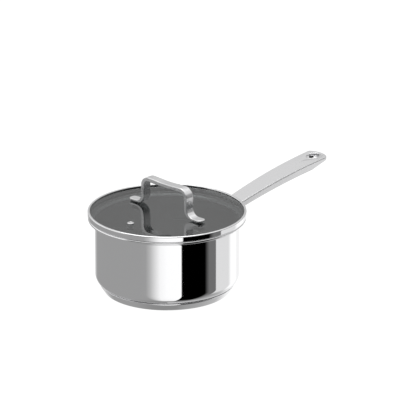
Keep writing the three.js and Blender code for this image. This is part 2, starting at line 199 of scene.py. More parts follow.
polished = steel("steel_18_10_mop_polished", "#f6f6f7", 0.04, rings_about_axis(1.0), 0.03)
inside = steel("steel_18_10_satin_inside", "#c6c7c8", 0.34, rings_about_axis(1.2), 0.25)

# %% [markdown]
# ## Satin stainless steel
# The handle and the strap are rubbed lengthwise with an abrasive belt of about grit 240. The lines are
# about 0.06 mm apart on the real one; here they are 0.7 mm wide and 30 to 45 mm long, so that they show.
# They widen every highlight across the piece. The handle's lines run along X, and the strap's follow its
# bends. The small fastenings are turned, which leaves fine even marks that dull their shine. The disc in
# the base is rolled aluminium, which is greyer and softer to the eye than steel.

# %% Satin steel
satin_handle = steel("steel_satin_belt_ground_handle", "#eeeeef", 0.13, lines_along((45, 0.7, 0.7)), 0.1, 40)
satin_strap = steel("steel_satin_belt_ground_strap", "#f0f0f1", 0.21, lines_on_path(0.7, 30), 0.04, 20)
satin_small = steel("steel_turned_small_parts", "#dcdcde", 0.22, lines_along((0.8, 0.8, 0.3)), 0.2, 6)
aluminium = steel("aluminium_rolled_core", "#c4c6c8", 0.42, lines_along((40, 0.8, 0.8)), 0.3, 30)
metals = (polished, inside, satin_handle, satin_strap, satin_small, aluminium)
print("metal finishes:", [metal.name for metal in metals])

# %% [markdown]
# ## Tempered glass
# Soda-lime float glass, 3 mm, toughened and slightly smoky. Seen at a low angle it works as a dark mirror,
# and seen from above it lets the eye into the pot. The mirror part grows with the angle, which Layer Weight
# gives; the rest is let through and tinted. Toughening leaves the sheet a little wavy, over about 60 mm.

# %% Glass
glass, tree = new_material("glass_soda_lime_toughened")
place = add(tree, "ShaderNodeTexCoord").outputs["Object"]
waves = add(tree, "ShaderNodeTexNoise", {"Vector": place, "Scale": 1 / (60 * MM), "Detail": 1.0})
wavy = add(tree, "ShaderNodeBump", {"Height": waves.outputs["Fac"], "Strength": 0.05, "Distance": 0.05 * MM})
facing = add(tree, "ShaderNodeLayerWeight", {"Blend": 0.5, "Normal": wavy.outputs[0]})
share = add(tree, "ShaderNodeMapRange", {"Value": facing.outputs["Facing"],
                                         1: 0.0, 2: 0.66, 3: 0.05, 4: 0.205})
through = add(tree, "ShaderNodeBsdfTransparent", {"Color": linear("#c2c4c4")})
mirror = add(tree, "ShaderNodeBsdfGlossy", {"Color": linear("#ffffff"), "Roughness": 0.015,
                                            "Normal": wavy.outputs[0]})
mixed = add(tree, "ShaderNodeMixShader", {0: share.outputs[0], 1: through.outputs[0], 2: mirror.outputs[0]})
add(tree, "ShaderNodeOutputMaterial", {"Surface": mixed.outputs[0]})
print("glass:", glass.name)

# %% [markdown]
# ## Silicone
# Moulded matt silicone for the pads under and over the glass. It is grey, with a soft sheen and the fine
# spark-eroded texture of its mould, about 0.3 mm.

# %% Silicone
silicone, tree = new_material("silicone_moulded_matt")
place = add(tree, "ShaderNodeTexCoord").outputs["Object"]
fine = add(tree, "ShaderNodeTexNoise", {"Vector": place, "Scale": 1 / (0.3 * MM), "Detail": 2.0})
tone = add(tree, "ShaderNodeValToRGB", {"Fac": fine.outputs["Fac"]},
           stops=[(0.35, linear("#5c5c5d")), (0.65, linear("#6c6c6d"))]).outputs["Color"]
pitted = add(tree, "ShaderNodeBump", {"Height": fine.outputs["Fac"], "Strength": 0.4, "Distance": 0.05 * MM})
rubber = add(tree, "ShaderNodeBsdfPrincipled", {"Base Color": tone, "Roughness": 0.62, "IOR": 1.41,
                                                "Normal": pitted.outputs[0]})
add(tree, "ShaderNodeOutputMaterial", {"Surface": rubber.outputs[0]})
print("rubber:", silicone.name)

# %% [markdown]
# ## Finishing a mesh
# Every piece is welded, has its faces turned outwards, is shaded smooth, and keeps a hard edge where two
# faces meet at more than about 40 degrees. Then it rides on a body and stands for its CAD node.

# %% Finish helper
HARD_EDGE = math.radians(40)
WELD = 1e-6


def tidy(mesh):
    """Welds, turns faces out, shades smooth and marks hard edges."""
    bm = bmesh.new()
    bm.from_mesh(mesh)
    bmesh.ops.remove_doubles(bm, verts=bm.verts, dist=WELD)
    bmesh.ops.dissolve_degenerate(bm, edges=bm.edges, dist=WELD)
    loose = [v for v in bm.verts if not v.link_faces]
    bmesh.ops.delete(bm, geom=loose, context="VERTS")
    bmesh.ops.recalc_face_normals(bm, faces=bm.faces)
    for face in bm.faces:
        face.smooth = True
    for edge in bm.edges:
        edge.smooth = len(edge.link_faces) == 2 and edge.calc_face_angle(0) < HARD_EDGE
    open_edges = sum(len(e.link_faces) != 2 for e in bm.edges)
    bm.to_mesh(mesh)
    bm.free()
    return open_edges


def finish_piece(piece, body, slot, *nodes):
    """Makes a finished mesh ride on its body in place of its CAD nodes."""
    open_edges = tidy(piece.data)
    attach(piece, body)
    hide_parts(*nodes)
    print(piece.name, len(piece.data.polygons), "faces,", open_edges, "open edges, for", ", ".join(nodes))
    return piece


def object_from(mesh, name, *materials):
    """A new object for a mesh, with its materials."""
    made = bpy.data.objects.new(name, mesh)
    bpy.context.scene.collection.objects.link(made)
    for material in materials:
        mesh.materials.append(material)
    return made


def object_of(bm, name, *materials):
    """A new object for a bmesh, which is freed."""
    mesh = bpy.data.meshes.new(name)
    bm.to_mesh(mesh)
    bm.free()
    return object_from(mesh, name, *materials)


# %% [markdown]
# ## Turned profiles
# Most of this pan is spun or turned, so it is drawn as a half section: a line of corners, each with its
# bend radius. Sheet metal never has a sharp corner, and the small bends are what catch the light. The
# function below rounds each corner with an arc and puts a point just before and after it, which keeps the
# flats flat in shading.

# %% Rounded line
def rounded_line(corners, closed=False, step_degrees=8.0):
    """Points of a line through (radius, height, bend) corners, with every bend rounded."""
    count, points, straight = len(corners), [], []
    for i, (x, y, bend) in enumerate(corners):
        here = Vector((x, y))
        if bend == 0 or (not closed and i in (0, count - 1)):
            points.append([here])
            continue
        before = (Vector(corners[i - 1][:2]) - here).normalized()
        after = (Vector(corners[(i + 1) % count][:2]) - here).normalized()
        half = before.angle(after) / 2
        middle = here + (before + after).normalized() * bend / math.sin(half)
        start, end = here + before * bend / math.tan(half), here + after * bend / math.tan(half)
        first = math.atan2(*(start - middle).yx)
        sweep = math.remainder(math.atan2(*(end - middle).yx) - first, math.tau)
        steps = max(3, math.ceil(math.degrees(abs(sweep)) / step_degrees))
        angles = [first + sweep * k / steps for k in range(steps + 1)]
        points.append([middle + bend * Vector((math.cos(a), math.sin(a))) for a in angles])
    for i in range(count):
        straight += points[i]
        if not closed and i == count - 1:
            break
        start, end = points[i][-1], points[(i + 1) % count][0]
        run = end - start
        if run.length > 1.2:
            keep = min(0.3, run.length / 5)
            straight += [start + run.normalized() * keep, end - run.normalized() * keep]
    return straight


sample = rounded_line([(0, 0, 0), (10, 0, 2), (10, 5, 0)])
print("a quarter bend of 2 mm takes", len(sample), "points")

# %% [markdown]
# ## The lathe, in Geometry Nodes
# A lathe follows a rule: one profile, carried round one circle. The tree takes the profile as a line,
# sweeps it round with Curve to Mesh, and welds the poles. Parts that come in pairs, such as the strap's
# fastenings, are the same turned shape set on two places, so the tree also has Copies and Spacing. It ends
# by making the copies real and giving them their material. Sizes are inputs, set through the socket
# identifiers.

# %% Lathe tree
ARBOR = 0.01  # radius of the guide circle in metres; the profile is moved in by as much, so it cancels out


def lathe_tree():
    """Builds the Geometry Nodes tree that turns a profile and sets copies of it."""
    made = bpy.data.node_groups.new("turn_on_lathe", "GeometryNodeTree")
    face = made.interface
    face.new_socket("Profile", in_out="INPUT", socket_type="NodeSocketGeometry")
    sockets = {}
    for name, kind in (("Segments", "Int"), ("Copies", "Int"), ("Spacing", "Vector"),
                       ("First Place", "Vector"), ("Turn", "Float"), ("Finish", "Material")):
        sockets[name] = face.new_socket(name, in_out="INPUT", socket_type="NodeSocket" + kind).identifier
    face.new_socket("Geometry", in_out="OUTPUT", socket_type="NodeSocketGeometry")
    given = add(made, "NodeGroupInput").outputs
    line = add(made, "GeometryNodeMeshToCurve", {"Mesh": given["Profile"]})
    centred = add(made, "GeometryNodeTransform", {"Geometry": line.outputs[0], "Translation": (-ARBOR, 0, 0)})
    circle = add(made, "GeometryNodeCurvePrimitiveCircle", {"Resolution": given["Segments"], "Radius": ARBOR})
    swept = add(made, "GeometryNodeCurveToMesh", {"Curve": circle.outputs[0],
                                                  "Profile Curve": centred.outputs[0]})
    welded = add(made, "GeometryNodeMergeByDistance", {"Geometry": swept.outputs[0], "Distance": WELD})
    places = add(made, "GeometryNodeMeshLine", {"Count": given["Copies"], "Offset": given["Spacing"],
                                                "Start Location": given["First Place"]})
    turn = add(made, "ShaderNodeCombineXYZ", {"Z": given["Turn"]})
    set_down = add(made, "GeometryNodeInstanceOnPoints", {
        "Points": places.outputs[0], "Instance": welded.outputs[0], "Rotation": turn.outputs[0]})
    real = add(made, "GeometryNodeRealizeInstances", {"Geometry": set_down.outputs[0]})
    coated = add(made, "GeometryNodeSetMaterial", {"Geometry": real.outputs[0], "Material": given["Finish"]})
    add(made, "NodeGroupOutput", {"Geometry": coated.outputs[0]})
    return made, sockets


LATHE, LATHE_INPUTS = lathe_tree()


def turned(name, points, material, closed=False, segments=192, copies=1, first=(0, 0, 0),
           spacing=(0, 0, 0), turn=0.0):
    """A plain mesh object of a turned profile in millimetres, with copies of it where wanted."""
    mesh = bpy.data.meshes.new(name)
    edges = [(i, i + 1) for i in range(len(points) - 1)] + ([(len(points) - 1, 0)] if closed else [])
    # The sweep lays the profile's second axis downwards, so heights go in with their sign changed.
    mesh.from_pydata([(x * MM, -z * MM, 0) for x, z in points], edges, [])
    made = object_from(mesh, name)
    lathe = made.modifiers.new("lathe", "NODES")
    lathe.node_group = LATHE
    values = {"Segments": segments, "Copies": copies, "First Place": [v * MM for v in first],
              "Spacing": [v * MM for v in spacing], "Turn": turn, "Finish": material}
    for key, value in values.items():
        lathe[LATHE_INPUTS[key]] = value
    graph = bpy.context.evaluated_depsgraph_get()
    made.data = bpy.data.meshes.new_from_object(made.evaluated_get(graph), depsgraph=graph)
    made.modifiers.clear()
    made.data.name = name
    return made


def joined(name, material, *parts):
    """Several plain mesh objects as one."""
    bm = bmesh.new()
    for part in parts:
        bm.from_mesh(part.data)
        bpy.data.objects.remove(part)
    return object_of(bm, name, material)


print("lathe inputs:", ", ".join(LATHE_INPUTS))

# %% [markdown]
# ## The pot
# One disc of steel is drawn into a cup with a round corner at its foot. Its rim is bent out to a narrow
# flange and rolled up into a bead, so that it pours cleanly and holds the lid. A cylinder with a lip glued
# on would miss the soft bend where the light turns, so the whole section is one line, out along the floor,
# up, round the bead and back down the inside. The wall is 0.8 mm thick. The inner face has its own satin
# finish, the second material.

# %% Pot
WALL = 0.8
RIM_REACH = 7.8
CORNER = 12.0
RIM_BEND = 3.0
BEAD = 1.9
BEAD_END = 0.25
rim_radius, rim_top, floor_z = pot_high.y, pot_high.z, pot_low.z
wall_radius = rim_radius - RIM_REACH
bead_end = rim_radius - BEAD - BEAD_END
rim_low = rim_top - 2 * BEAD
pot_line = rounded_line([
    (0, floor_z, 0),
    (wall_radius, floor_z, CORNER),
    (wall_radius, rim_low, RIM_BEND),
    (rim_radius, rim_low, BEAD),
    (rim_radius, rim_top, BEAD),
    (bead_end, rim_top, BEAD_END),
    (bead_end, rim_top - WALL, BEAD_END),
    (rim_radius - WALL, rim_top - WALL, BEAD - WALL),
    (rim_radius - WALL, rim_low + WALL, BEAD - WALL),
    (wall_radius - WALL, rim_low + WALL, RIM_BEND + WALL),
    (wall_radius - WALL, floor_z + WALL, CORNER - WALL),
    (0, floor_z + WALL, 0),
], step_degrees=5)
pot = turned("pot_shell", pot_line, polished)
pot.data.materials.append(inside)
finish_piece(pot, "pot", "polished_steel", "pot_body")
for face in pot.data.polygons:
    inward = -(face.normal.x * face.center.x + face.normal.y * face.center.y)
    faces_food = inward > 1e-5 or (face.normal.z > 0.9 and face.center.length < wall_radius * MM)
    face.material_index = 1 if faces_food and face.center.z < (rim_low - RIM_BEND) * MM else 0

# %% [markdown]
# ## The base
# A steel cap is pressed over an aluminium disc and bonded to the pot's floor. Its foot is flat, its side
# slopes out at about 59 degrees and ends in a very short lip that leans in and nearly closes the seam. The
# lip's top edge and the seam over it make the thin line that runs round the pan just above the hob. The cap
# is a turned sheet as well.

# %% Base cap
SHEET = 0.8
CAP_BEND, LIP_BEND = 3.0, 1.5
FOOT_INSET = 11.8
LIP_HEIGHT = 0.4
LIP_LEAN = 0.55
seam_z, cap_radius = cap_high.z, cap_high.y
foot_centre = Vector((wall_radius - FOOT_INSET, CAP_BEND))
lip_centre = Vector((cap_radius - LIP_BEND, seam_z - LIP_HEIGHT))
apart = lip_centre - foot_centre
lean = math.atan2(apart.y, apart.x) + math.asin((CAP_BEND - LIP_BEND) / apart.length)
slope = Vector((math.cos(lean), math.sin(lean)))


def cap_corners(inset):
    """Where the cap's sloped side meets its flat foot and its upright lip, drawn in by inset."""
    on_slope = foot_centre + Vector((slope.y, -slope.x)) * (CAP_BEND - inset)
    low = on_slope + slope * (inset - on_slope.y) / slope.y
    high = on_slope + slope * (cap_radius - inset - on_slope.x) / slope.x
    return (low.x, low.y, CAP_BEND - inset), (high.x, high.y, LIP_BEND - inset)


outer_low, outer_high = cap_corners(0)
inner_low, inner_high = cap_corners(SHEET)
cap_line = rounded_line([
    (0, 0, 0), outer_low, outer_high,
    (cap_radius, seam_z, 0.3), (cap_radius - SHEET - LIP_LEAN, seam_z, 0.1),
    inner_high, inner_low, (0, SHEET, 0),
], step_degrees=5)
print("the cap's side slopes at", round(math.degrees(lean), 1), "degrees")
cap = turned("base_cap_pressed", cap_line, polished)
finish_piece(cap, "pot", "polished_steel", "base_cap")
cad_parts["base_core_disc"].data.materials.clear()
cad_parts["base_core_disc"].data.materials.append(aluminium)

# %% [markdown]
# ## The lid's rim band
# A strip of steel is rolled round the glass: a narrow lip over the top edge, an upright face, a floor under
# the glass and a skirt that drops inside the pot's rim. The bends that show are half a millimetre or more,
# and those out of sight are tighter.

# %% Rim band
BAND_WALL = 1.3
BAND_FLOOR = 1.3
LIP_COVER = 1.3
SKIRT_SHEET = 0.9
LID_CLEARANCE = 0.8
GAP = 0.3
band_floor = rim_top + GAP
groove = band_high.y - BAND_WALL
skirt = rim_radius - BEAD - LID_CLEARANCE
band_line = rounded_line([
    (skirt - SKIRT_SHEET, band_low.z, 0.3),
    (skirt, band_low.z, 0.3),
    (skirt, band_floor, 0.25),
    (band_high.y, band_floor, 0.6),
    (band_high.y, band_high.z, 1.1),
    (groove - LIP_COVER, band_high.z, 0.6),
    (groove - LIP_COVER, glass_high.z + GAP, 0.2),
    (groove, glass_high.z + GAP, 0.2),
    (groove, band_floor + BAND_FLOOR, 0.2),
    (skirt - SKIRT_SHEET, band_floor + BAND_FLOOR, 0.3),
], closed=True, step_degrees=9)
band = turned("lid_band_rolled", band_line, polished, closed=True)
finish_piece(band, "lid_band", "polished_steel", "lid_rim_band")

# %% [markdown]
# ## The glass
# A flat disc with a ground edge, drilled in three places before it was toughened. The two faces are filled
# between the rim and the drilled holes, and the ground edge and the bores are short walls between them. A
# Boolean would do too, but this keeps the flats free of long thin faces next to the edges.

# %% Glass disc
STUD_HOLE = 2.6
VENT_HOLE = 2.7
ARRIS = 0.35
FACE_MARGIN = 0.6  # an even strip inside the ground edge, which keeps the edge's shading off the face
pad_low, pad_high = box("foot_pad_back")
stud_y = (pad_low.y + pad_high.y) / 2
vent_x = (vent_low.x + vent_high.x) / 2


def circle_points(x, y, z, radius, steps):
    """Points of a level circle, in metres."""
    angles = [math.tau * i / steps for i in range(steps)]
    return [Vector((x + radius * math.cos(a), y + radius * math.sin(a), z)) * MM for a in angles]


def drilled_disc(name, radius, low, high, holes, material):
    """A flat disc with a ground edge and round holes, given as (x, y, radius)."""
    bm = bmesh.new()

    def ring(points):
        return [bm.verts.new(p) for p in points]

    def wall(lower, upper):
        for i in range(len(lower)):
            j = (i + 1) % len(lower)
            bm.faces.new((lower[i], lower[j], upper[j], upper[i]))

    face_radius = radius - ARRIS
    edge = [(face_radius, low), (radius - 0.3 * ARRIS, low + 0.3 * ARRIS), (radius, low + ARRIS),
            (radius, high - ARRIS), (radius - 0.3 * ARRIS, high - 0.3 * ARRIS), (face_radius, high)]
    rings = [ring(circle_points(0, 0, z, r, 192)) for r, z in edge]
    for lower, upper in zip(rings, rings[1:]):
        wall(lower, upper)
    bores = [[ring(circle_points(x, y, z, r, 32)) for z in (low, high)] for x, y, r in holes]
    for lower, upper in bores:
        wall(upper, lower)
    for side, outline in ((0, rings[0]), (1, rings[-1])):
        inner = ring([p.co * ((face_radius - FACE_MARGIN) / face_radius) for p in outline])
        for vert, source in zip(inner, outline):
            vert.co.z = source.co.z
        wall(inner, outline)
        loops = [inner] + [bore[side] for bore in bores]
        edges = []
        for loop in loops:
            for i in range(len(loop)):
                pair = (loop[i], loop[(i + 1) % len(loop)])
                edges.append(bm.edges.get(pair) or bm.edges.new(pair))
        bmesh.ops.triangle_fill(bm, use_beauty=True, edges=edges)
    return object_of(bm, name, material)


pane = drilled_disc("lid_glass_disc", glass_high.y, glass_low.z, glass_high.z,
                    [(0, stud_y, STUD_HOLE), (0, -stud_y, STUD_HOLE), (vent_x, 0, VENT_HOLE)], glass)
finish_piece(pane, "lid", "lid_glass", "lid_glass")

# %% [markdown]
# ## The steam vent
# A small steel eyelet, put through the glass and rolled open on top. Its mouth is a soft funnel. A clinch
# washer holds it from below. Both are turned.

# %% Vent
FLANGE, TUBE, BORE = 3.8, 2.4, 1.6
flange_z = glass_high.z + GAP
eyelet_line = rounded_line([
    (BORE, vent_low.z, 0.15), (TUBE, vent_low.z, 0.15), (TUBE, flange_z, 0.1),
    (FLANGE, flange_z, 0.3), (FLANGE, vent_high.z, 0.55), (BORE, vent_high.z, 0.7),
], closed=True)
eyelet = turned("vent_eyelet_rolled", eyelet_line, polished, closed=True, segments=64, first=(vent_x, 0, 0))
finish_piece(eyelet, "lid", "polished_steel", "vent_eyelet")
washer_low, washer_high = box("vent_washer")
washer_line = rounded_line([
    (TUBE + GAP, washer_low.z, 0.1), (washer_high.y, washer_low.z, 0.25),
    (washer_high.y, washer_high.z, 0.15), (TUBE + GAP, washer_high.z, 0.1),
], closed=True)
clinch = turned("vent_clinch_washer", washer_line, satin_small, closed=True, segments=64,
                first=(vent_x, 0, 0))
finish_piece(clinch, "lid", "satin_steel", "vent_washer")

# %% [markdown]
# ## Surfaces between lines
# The strap, the bracket and the handle are pressed bars with soft edges. Each is built as a stack of lines
# that run along the piece: down the middle of the top, out to the edge, over the soft edge, down the side
# and back. The function joins each line to the next with faces. Half a piece is enough, because the other
# half is its mirror image. A UV map called path keeps the distance along and round the bar for the grinding
# lines.

# %% Line surfaces
def skin(bm, lines, flip=None, along=None):
    """Joins neighbouring lines of points with quads, and again mirrored by flip, keeping path distances."""
    layer = bm.loops.layers.uv.get("path") or bm.loops.layers.uv.new("path")
    girth = 0.0
    for first, second in zip(lines, lines[1:]):
        width = sum((a - b).length for a, b in zip(first, second)) / len(first)
        for side in (False, True) if flip else (False,):
            for i in range(len(first) - 1):
                j = i + 1
                corners = [(first[i], i, 0), (first[j], j, 0), (second[j], j, 1), (second[i], i, 1)]
                if side:
                    corners = [(flip(p), k, s) for p, k, s in corners]
                face = bm.faces.new([bm.verts.new(p * MM) for p, _, _ in corners])
                for loop, (_, k, s) in zip(face.loops, corners):
                    reach = along[k] if along else first[k].x
                    loop[layer].uv = (reach, (girth + s * width) * (-1 if side else 1))
        girth += width


def edge_rounding(radius, steps=5):
    """(inset, drop) pairs that round an edge from its top face to its side."""
    angles = [math.pi / 2 * k / steps for k in range(steps + 1)]
    return [(radius * (1 - math.sin(a)), radius * (1 - math.cos(a))) for a in angles]


# %% [markdown]
# ## The strap
# One flat bar, 10.6 mm wide, bent down at both ends and out again into two thin feet. The bar's top and
# underside are two separate lines, because it is 4.8 mm thick over the hand and only 2.5 mm at the feet.
# The feet end in a blunt round. A threaded stud is welded under each foot, and is turned on the lathe with
# its thread as plain rings 0.7 mm apart, which is close enough for a thread that sits inside the lid.

# %% Strap sizes
STRAP_THICK = 4.8
FOOT_THICK = 2.5
TOP_BEND = 11.0
FOOT_BEND = 9.0
HALF_SPAN = 36.3
DIP = 0.8
TIP_ROUND = 3.6
SOFT_EDGE = 0.7
half_width = strap_high.x
tip_y, top_z = strap_high.y, strap_high.z
foot_low = glass_high.z + 1.2
foot_top = foot_low + FOOT_THICK
flat_y = HALF_SPAN - TOP_BEND


def bend_points(y, z, radius, start, end, steps):
    """Points of a bend in the strap's side view, from one angle to another in degrees."""
    angles = [math.radians(start + (end - start) * k / steps) for k in range(steps + 1)]
    return [(y + radius * math.cos(a), z + radius * math.sin(a)) for a in angles]


def strap_side(thick, low, foot_radius, top_radius, leg_y):
    """One half of the bar's upper or lower line, from the straight of the foot to the middle of the top."""
    lip = [(tip_y - TIP_ROUND, low), (leg_y + foot_radius + 0.6, low)]
    foot = bend_points(leg_y + foot_radius, low + foot_radius, foot_radius, 270, 180, 14)
    leg_low, leg_high = foot[-1][1] + 0.5, top_z - TOP_BEND - 0.5
    leg = [(leg_y, leg_low + (leg_high - leg_low) * k / 3) for k in range(4)]
    over = bend_points(flat_y, top_z - TOP_BEND, top_radius, 0, 90, 14)
    ys = [flat_y * k / 10 for k in range(9, -1, -1)]
    across = [(y, top_z - thick - DIP * (1 + math.cos(math.pi * y / flat_y)) / 2) for y in ys]
    return lip + foot + leg + over + across


upper = strap_side(0, foot_top, FOOT_BEND, TOP_BEND, HALF_SPAN)
lower = strap_side(STRAP_THICK, foot_low, FOOT_BEND + FOOT_THICK, TOP_BEND - STRAP_THICK,
                   HALF_SPAN - STRAP_THICK)

# %% Strap mesh
TIP_STEPS = 12
FACE_LINE, SIDE_LINE = SOFT_EDGE + 0.35, SOFT_EDGE + 0.25  # lines beside the soft edge keep the flats flat
section = [(half_width, 0), (FACE_LINE, 0)] + edge_rounding(SOFT_EDGE) + [(0, SIDE_LINE)]
layers = [(*place, "top") for place in section] + [(*place, "low") for place in reversed(section)]


def strap_line(inset, drop, side):
    """A line along the bar at one place round its section, from the tip of the foot to the middle."""
    points = []
    for k in range(TIP_STEPS):
        angle = math.pi / 2 * (1 - k / TIP_STEPS)
        reach = half_width - inset
        z = foot_top - drop if side == "top" else foot_low + drop
        middle = inset >= half_width - 1e-9
        y = tip_y - TIP_ROUND + (TIP_ROUND - min(inset, FACE_LINE)) * math.sin(angle)
        points.append(Vector((0 if middle else reach * math.cos(angle), y, z)))
    for (ya, za), (yb, zb) in zip(upper, lower):
        above, below = Vector((0, ya, za)), Vector((0, yb, zb))
        share = drop / (above - below).length
        spot = above.lerp(below, share) if side == "top" else below.lerp(above, share)
        points.append(spot + Vector((max(half_width - inset, 0), 0, 0)))
    return points


half_strap = [strap_line(*layer) for layer in layers]
edge_line = half_strap[2]
distance = [0.0]
for a, b in zip(edge_line, edge_line[1:]):
    distance.append(distance[-1] + (a - b).length)
bm = bmesh.new()
for end in (1, -1):
    turned_lines = [[Vector((p.x, p.y * end, p.z)) for p in line] for line in half_strap]
    reach = distance if end == 1 else [2 * distance[-1] - d for d in distance]
    skin(bm, turned_lines, lambda p: Vector((-p.x, p.y, p.z)), reach)
bar = object_of(bm, "bar")

THREAD_PITCH = 0.7
stud_low = strap_low.z
stud_line = [(0.0, stud_low), (1.5, stud_low)]
threads = int((foot_low - stud_low - 1.5) / THREAD_PITCH)
for k in range(threads):
    z = stud_low + 0.35 + k * THREAD_PITCH
    stud_line += [(1.7, z), (2.0, z + THREAD_PITCH / 2)]
stud_line += [(1.9, foot_low - 0.9), (2.0, foot_low - 0.5), (2.0, foot_low + 0.6), (0.0, foot_low + 0.6)]
on_both_feet = {"copies": 2, "first": (0, -stud_y, 0), "spacing": (0, 2 * stud_y, 0)}
studs = turned("studs", stud_line, satin_strap, segments=32, **on_both_feet)
strap = joined("lid_strap_bent", satin_strap, bar, studs)
finish_piece(strap, "lid", "satin_steel", "lid_strap")

# %% [markdown]
# ## What holds the strap
# Under each foot lies a thin pad of silicone. Below the glass come a second pad, a steel cup washer and a
# domed nut, which pulls everything together. Each kind is one turned shape set on the two places by the
# lathe tree. The nut is a six-sided turning with a dome on it.

# %% Strap fastenings
PAD_HOLE = 2.3


def washers(name, node, material, slot, soft):
    """A pair of flat rings for the two places, as one piece."""
    low, high = box(node + "_back")
    radius = (high.x - low.x) / 2
    line = rounded_line([(PAD_HOLE, low.z, 0.1), (radius, low.z, soft), (radius, high.z, soft),
                         (PAD_HOLE, high.z, 0.1)], closed=True)
    pair = turned(name, line, material, closed=True, segments=64, **on_both_feet)
    return finish_piece(pair, "lid", slot, node + "_back", node + "_front")


washers("lid_foot_pads", "foot_pad", silicone, "silicone", 0.25)
washers("lid_glass_pads", "glass_pad", silicone, "silicone", 0.25)
washers("lid_cup_washers", "cup_washer", satin_small, "satin_steel", 0.3)

nut_high = box("strap_nut_back")[1]
ACROSS_FLATS, HEX_HEIGHT, DOME_HEIGHT = 7.0, 3.2, 2.3
hex_low = nut_high.z - HEX_HEIGHT
corner_radius = ACROSS_FLATS / math.sqrt(3)
hex_line = rounded_line([(PAD_HOLE, hex_low + 0.4, 0.05), (ACROSS_FLATS / 2, hex_low, 0.1),
                         (corner_radius, hex_low + 0.45, 0.2), (corner_radius, nut_high.z - 0.45, 0.2),
                         (ACROSS_FLATS / 2, nut_high.z, 0.1), (PAD_HOLE, nut_high.z, 0.1)], closed=True)
dome_radius = ACROSS_FLATS / 2 - 0.3
dome_angles = [math.pi / 2 * k / 10 for k in range(11)]
dome_line = [(dome_radius * math.sin(a), hex_low - DOME_HEIGHT * math.cos(a)) for a in dome_angles]
dome_line += [(dome_radius, hex_low + 0.3), (0, hex_low + 0.3)]
hexagons = turned("nut_flats", hex_line, satin_small, closed=True, segments=6, turn=math.radians(30),
                  **on_both_feet)
domes = turned("nut_domes", dome_line, satin_small, segments=48, **on_both_feet)
nuts = joined("lid_domed_nuts", satin_small, hexagons, domes)
finish_piece(nuts, "lid", "satin_steel", "strap_nut_back", "strap_nut_front")

# %% [markdown]
# ## The long handle's shape
# The handle is a pressed channel closed by a top plate. Seen from the side it rises with an even bow,
# deepens a little towards the hand and thins evenly to its tip; seen from above it widens and ends in a
# shallow crown. Those rules are a few functions of the distance along the handle, which both pieces share.

# %% Handle rules
TOP_PLATE = 1.2
HANDLE_BOW = 4.3
ROOT_WIDTH, END_WIDTH = 19.4, 28.6
ROOT_DEPTH, GRIP_DEPTH, TIP_DEPTH = 8.2, 9.4, 4.2
NOSE_LENGTH = 27.0
TIP_CROWN, TIP_CORNER = 3.6, 2.2
CHANNEL_WALL = 1.2
root_x, tip_x = channel_low.x, plate_high.x
root_top = plate_low.z + TOP_PLATE
tip_rise = plate_high.z - root_top
nose_x = tip_x - NOSE_LENGTH


def mix(a, b, share):
    return a + (b - a) * share


def smooth(low, high, value):
    share = min(max((value - low) / (high - low), 0), 1)
    return share * share * (3 - 2 * share)


def handle_top(x, y=0.0):
    """Height of the handle's top face, which is level across, so y makes no difference."""
    share = (x - root_x) / (tip_x - root_x)
    return root_top + tip_rise * share + 4 * HANDLE_BOW * share * (1 - share)


def handle_bottom(x, y=0.0):
    """Height of the handle's underside, which is level across too."""
    if x > nose_x:
        return handle_top(x) - mix(GRIP_DEPTH, TIP_DEPTH, (x - nose_x) / NOSE_LENGTH)
    return handle_top(x) - mix(ROOT_DEPTH, GRIP_DEPTH, (x - root_x) / (nose_x - root_x))


def handle_half_width(x):
    """Half the handle's width, which grows quickly at first and then more slowly."""
    share = (x - root_x) / (tip_x - root_x)
    return mix(ROOT_WIDTH, END_WIDTH, share * (1.5 - 0.5 * share)) / 2


# %% [markdown]
# ## Outline and opening
# The hanging opening is egg-shaped: a wide and a narrow circle with their common tangents. Every point of
# the nose's outline is paired with a point round the opening, so that the faces fan neatly round it.
# Further back the outline is paired with the middle of the handle.

# %% Outline and opening
WIDE_RADIUS, NARROW_RADIUS = 6.6, 5.4
wide_x, narrow_x = tip_x - 12.4, tip_x - 9.4
SLEEVE_WALL = 0.8
SLEEVE_SEAT = SLEEVE_WALL + GAP
COLLAR = SLEEVE_SEAT + CHANNEL_WALL
NOSE_STEPS = 48
collar_x = wide_x - WIDE_RADIUS - COLLAR


def opening(outset):
    """Half of the opening's line drawn out by outset, from its root side round to its tip side."""
    wide, narrow = WIDE_RADIUS + outset, NARROW_RADIUS + outset
    side = math.acos((wide - narrow) / (narrow_x - wide_x))
    points = []
    for k in range(NOSE_STEPS + 1):
        angle = math.pi * (1 - k / NOSE_STEPS)
        centre, radius = (wide_x, wide) if angle > side else (narrow_x, narrow)
        points.append(Vector((centre + radius * math.cos(angle), max(radius * math.sin(angle), 0.0))))
    points[0].y = points[-1].y = 0.0
    return points


